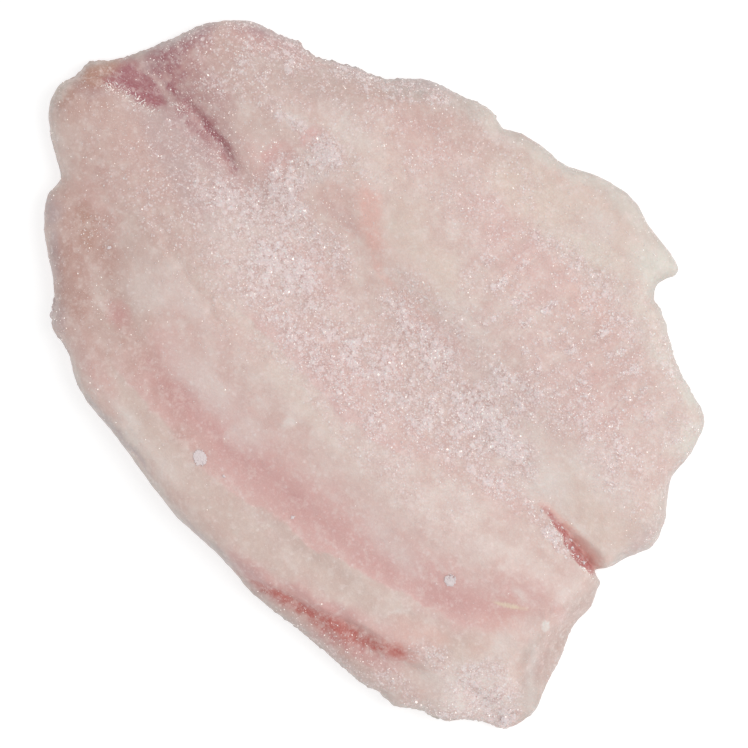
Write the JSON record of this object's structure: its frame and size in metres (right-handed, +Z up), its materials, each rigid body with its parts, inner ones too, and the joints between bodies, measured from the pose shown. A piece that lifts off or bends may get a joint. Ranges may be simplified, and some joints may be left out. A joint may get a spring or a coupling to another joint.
{
  "type": "tilapia fillet",
  "caption": "Frozen skinless fish fillet lying flat, cut side up, with a thick loin, a thin belly flap, a midline groove and a pin-bone slit at the head end.",
  "frame": {"origin": "under the middle of the fillet's bounding box, on the surface that it rests on", "axes": "+X from the tail end to the head end, +Y from the dorsal edge to the belly edge, +Z up"},
  "size_m": [0.18, 0.1264, 0.017],
  "materials": {
    "flesh": "waxy frozen flesh",
    "frost": "white frost"
  },
  "bodies": {
    "root": {"fillet": "flesh"}
  },
  "joints": []
}
